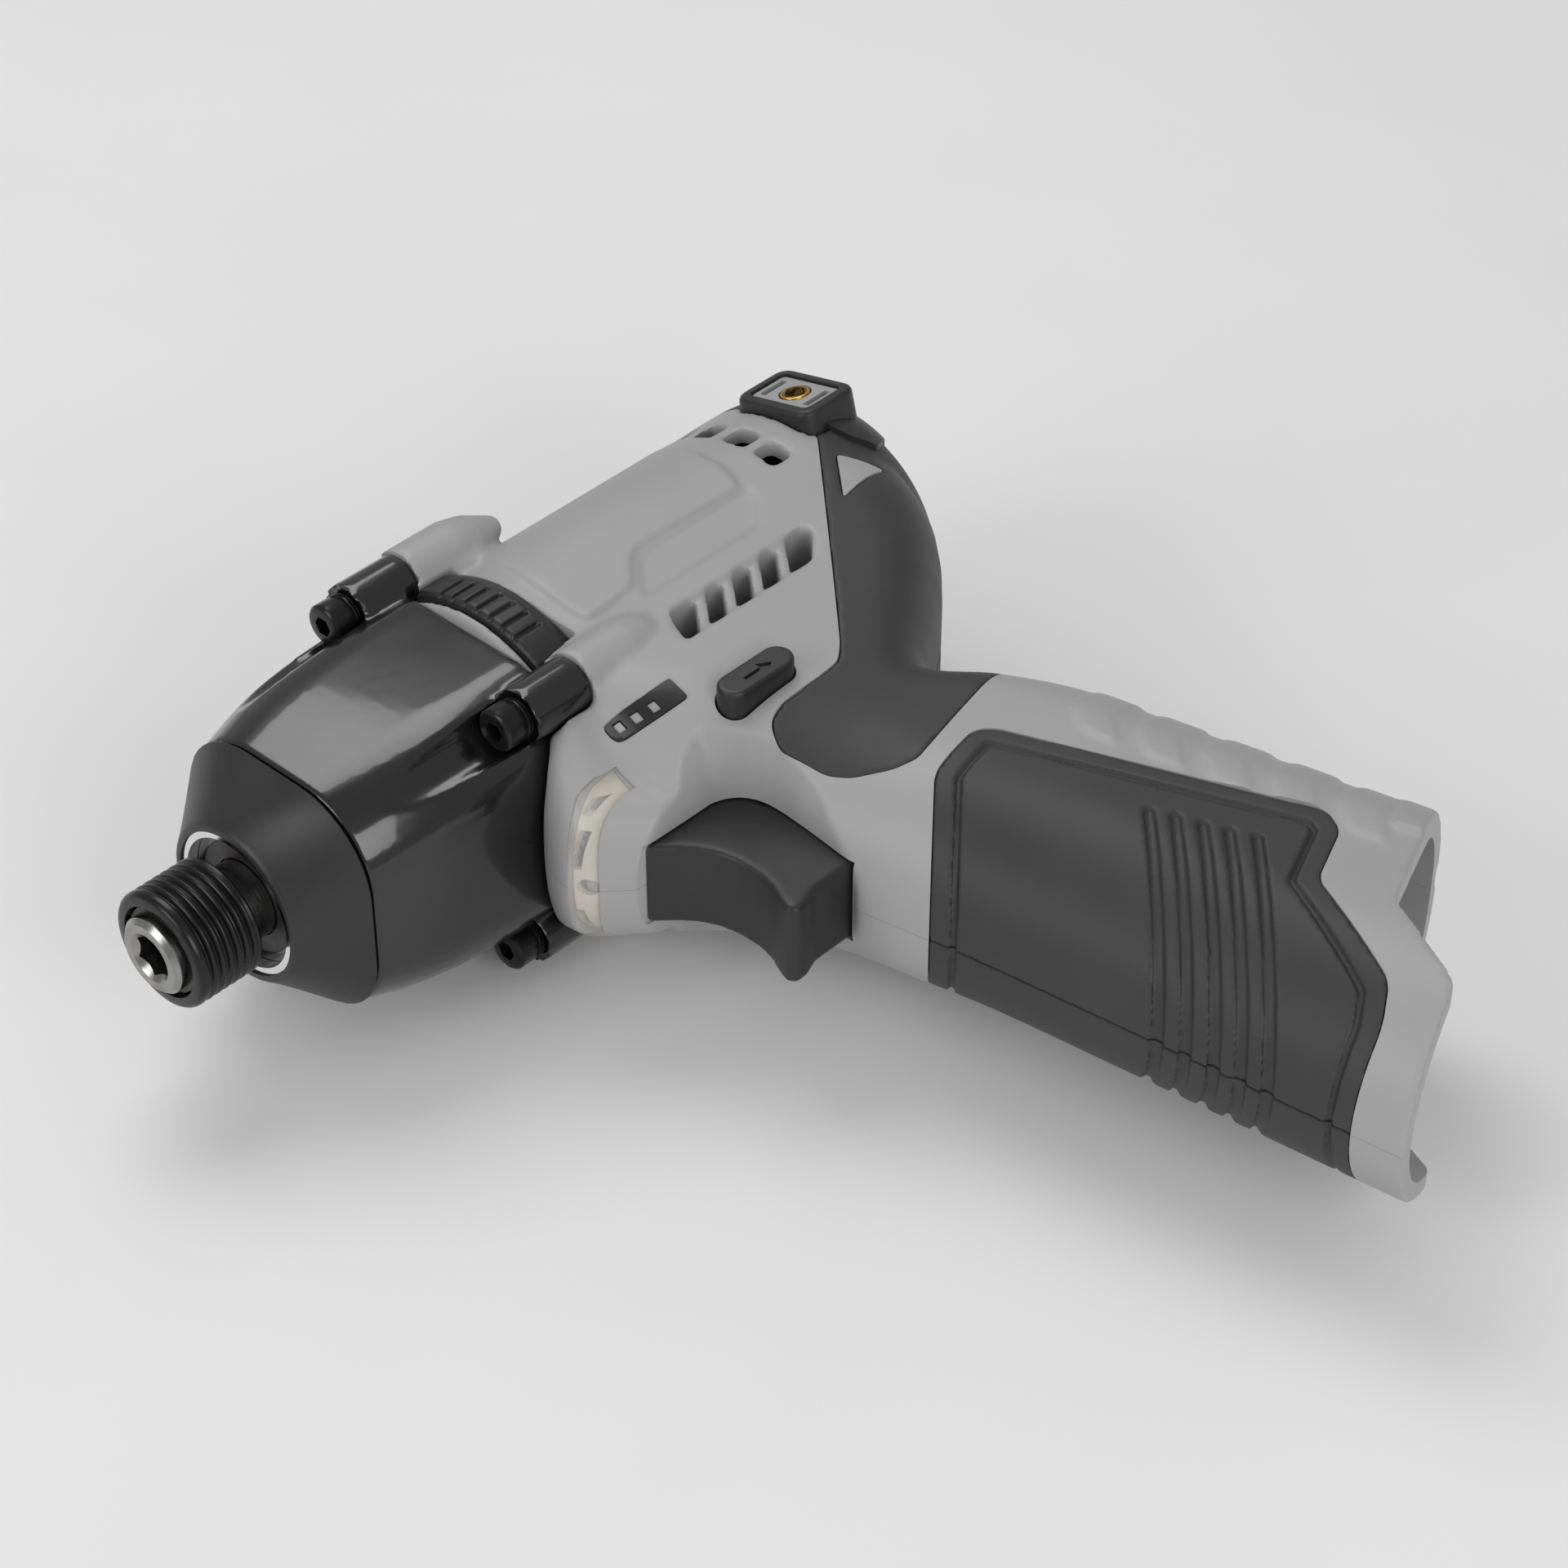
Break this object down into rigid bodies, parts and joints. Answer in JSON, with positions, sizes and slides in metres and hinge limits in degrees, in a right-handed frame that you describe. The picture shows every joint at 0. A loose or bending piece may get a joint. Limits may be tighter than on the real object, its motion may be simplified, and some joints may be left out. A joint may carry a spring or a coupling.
{
  "type": "impact driver",
  "caption": "Compact cordless pistol-grip impact driver, bare tool, with sliding bit collar, trigger, direction selector, work light and open battery bay in the grip.",
  "frame": {"origin": "middle of the anvil's front face, at the mouth of the hex bit socket", "axes": "+X forward along the spindle to the bit, +Y down the grip, +Z to the tool's left side, which faces up as the tool lies on its right side"},
  "size_m": [0.156, 0.1852, 0.059],
  "materials": {
    "grey_plastic": "fine moulded texture",
    "grip_rubber": "soft overmould",
    "black_plastic": "fine moulded texture",
    "gloss_black": "gloss black coating on a die casting",
    "nose_rubber": "satin bumper",
    "chrome": "bright ring",
    "dark_steel": "dark oxide",
    "black_steel": "black oxide",
    "brass": "turned brass",
    "clear_lens": "clear moulded lens",
    "circuit_board": "solder mask",
    "gauge_black": "satin black window frame",
    "steel": "ground steel",
    "anvil_steel": "phosphated and ground steel",
    "copper": "enamelled winding wire",
    "lead_sleeve": "silicone sleeve"
  },
  "bodies": {
    "base": {"housing_left": "grey_plastic", "housing_right": "grey_plastic", "grip_cover_left": "grip_rubber", "grip_cover_right": "grip_rubber", "rear_cover_left": "grip_rubber", "rear_cover_right": "grip_rubber", "side_pads": "black_plastic", "hammer_case": "gloss_black", "nose_cap": "nose_rubber", "nose_ring": "chrome", "nose_washer": "dark_steel", "case_screws": "black_steel", "spring_washers": "black_steel", "housing_screws": "black_steel", "clip_frames": "black_plastic", "clip_plates": "grey_plastic", "clip_inserts": "brass", "light_lens": "clear_lens", "light_board": "circuit_board", "gauge_cover": "gauge_black", "gauge_board": "circuit_board", "anvil_bush": "brass", "ring_gear": "steel", "gearbox_plate": "black_plastic", "stator_core": "dark_steel", "stator_coils": "copper", "front_bearing": "steel", "rear_bearing": "steel", "hall_board": "circuit_board", "trigger_switch": "black_plastic", "controller_board": "circuit_board", "battery_terminals": "black_plastic", "motor_leads": "lead_sleeve", "trigger_spring": "steel"},
    "anvil": {"anvil": "anvil_steel", "collar_circlip": "dark_steel", "collar_washer": "steel", "collar_spring": "steel", "detent_balls": "steel"},
    "bit_collar": {"bit_collar": "black_steel"},
    "camshaft": {"camshaft": "steel", "cam_balls": "steel", "planet_pins": "steel", "hammer_spring": "steel"},
    "hammer": {"hammer": "dark_steel"},
    "planet_1": {"planet_gear_1": "steel"},
    "planet_2": {"planet_gear_2": "steel"},
    "planet_3": {"planet_gear_3": "steel"},
    "rotor": {"rotor_shaft": "steel", "rotor_core": "dark_steel", "rotor_magnets": "dark_steel", "motor_fan": "black_plastic"},
    "trigger": {"trigger": "black_plastic"},
    "direction_selector": {"direction_selector": "black_plastic"}
  },
  "joints": [
    {"name": "camshaft_spin", "type": "hinge", "parent": "base", "child": "camshaft", "pos_m": [0, 0, 0], "axis": [1, 0, 0], "continuous": true},
    {"name": "anvil_spin", "type": "hinge", "parent": "base", "child": "anvil", "pos_m": [0, 0, 0], "axis": [1, 0, 0], "continuous": true},
    {"name": "collar_slide", "type": "slide", "parent": "anvil", "child": "bit_collar", "axis": [1, 0, 0], "range_m": [0, 0.0035], "stiffness_N_per_m": 1500, "springref_m": -0.002, "deforming": ["collar_spring"]},
    {"name": "hammer_slide", "type": "slide", "parent": "camshaft", "child": "hammer", "axis": [1, 0, 0], "range_m": [-0.007, 0], "stiffness_N_per_m": 8000, "springref_m": 0.004, "deforming": ["hammer_spring"]},
    {"name": "planet_1_spin", "type": "hinge", "parent": "camshaft", "child": "planet_1", "pos_m": [0, 0.01013, 0], "axis": [1, 0, 0], "continuous": true},
    {"name": "planet_2_spin", "type": "hinge", "parent": "camshaft", "child": "planet_2", "pos_m": [0, -0.00506, 0.00877], "axis": [1, 0, 0], "continuous": true},
    {"name": "planet_3_spin", "type": "hinge", "parent": "camshaft", "child": "planet_3", "pos_m": [0, -0.00506, -0.00877], "axis": [1, 0, 0], "continuous": true},
    {"name": "rotor_spin", "type": "hinge", "parent": "base", "child": "rotor", "pos_m": [0, 0, 0], "axis": [1, 0, 0], "continuous": true},
    {"name": "trigger_slide", "type": "slide", "parent": "base", "child": "trigger", "axis": [-1, 0, 0], "range_m": [0, 0.0065], "stiffness_N_per_m": 1200, "springref_m": -0.002, "deforming": ["trigger_spring"]},
    {"name": "selector_slide", "type": "slide", "parent": "base", "child": "direction_selector", "axis": [0, 0, -1], "range_m": [0, 0.0065]}
  ],
  "couplings": [
    {"joint": "anvil_spin", "follows": "camshaft_spin", "ratio": 1},
    {"joint": "rotor_spin", "follows": "camshaft_spin", "ratio": 6},
    {"joint": "planet_1_spin", "follows": "camshaft_spin", "ratio": -2.5},
    {"joint": "planet_2_spin", "follows": "camshaft_spin", "ratio": -2.5},
    {"joint": "planet_3_spin", "follows": "camshaft_spin", "ratio": -2.5}
  ]
}
